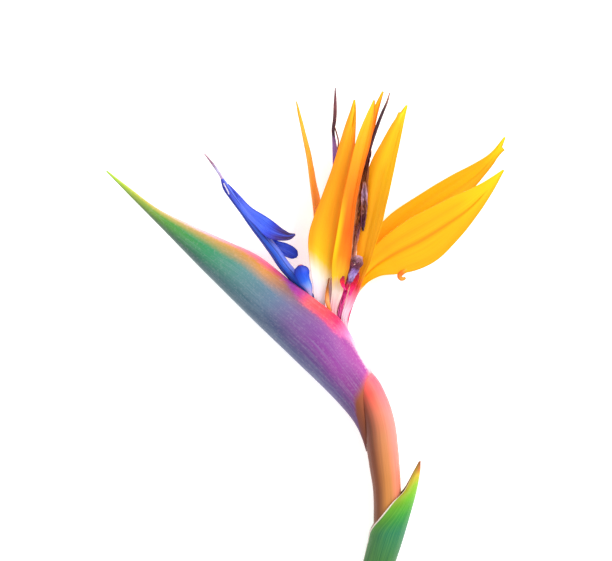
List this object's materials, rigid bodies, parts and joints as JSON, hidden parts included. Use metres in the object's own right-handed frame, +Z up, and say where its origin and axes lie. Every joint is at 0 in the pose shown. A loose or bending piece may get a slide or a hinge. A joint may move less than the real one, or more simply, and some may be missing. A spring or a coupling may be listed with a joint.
{
  "type": "bird of paradise flower",
  "caption": "Cut bird of paradise flower head on its stalk, lying on its side: boat-shaped spathe with orange sepals and a blue arrow rising from its slit.",
  "frame": {"origin": "on the surface that the flower lies on, under the middle of its outline seen from above", "axes": "+Z up from the surface; +Y from the stalk's cut end to the tips of the flowers; +X to the side of the spread orange sepals, away from the spathe's beak"},
  "size_m": [0.2004, 0.3018, 0.0286],
  "materials": {
    "stalk": "smooth fleshy stalk, salmon to ochre with a fine grain along it",
    "sheath": "waxy green leaf sheath with fine ribs and a brown-red tip",
    "spathe": "waxy bract, teal keel to purple base with a pink and orange margin",
    "sepal": "silky orange petal surface with fine veins, white at the claw",
    "blue_petal": "satin deep blue petal",
    "withered_petal": "dry, wrinkled dark maroon petal",
    "purple_petal": "dull purple shrunken petal",
    "style": "thin satin style",
    "ovary": "pale moist flower base",
    "bud": "pale orange closed bud",
    "bracteole": "thin papery dry bract"
  },
  "bodies": {
    "root": {"stalk": "stalk", "sheath": "sheath", "spathe": "spathe", "sepal_1_near": "sepal", "sepal_1_far": "sepal", "sepal_1_median": "sepal", "sepal_2_near": "sepal", "sepal_2_far": "sepal", "sepal_2_median": "sepal", "sepal_3_near": "sepal", "sepal_3_far": "sepal", "sepal_3_median": "sepal", "arrow_1": "blue_petal", "hood_1": "blue_petal", "arrow_2": "withered_petal", "hood_2": "withered_petal", "arrow_3": "purple_petal", "style_1": "style", "style_2": "style", "style_3": "style", "ovary_1": "ovary", "ovary_2": "ovary", "ovary_3": "ovary", "bud_1": "bud", "bud_2": "bud", "bracteole": "bracteole"}
  },
  "joints": []
}
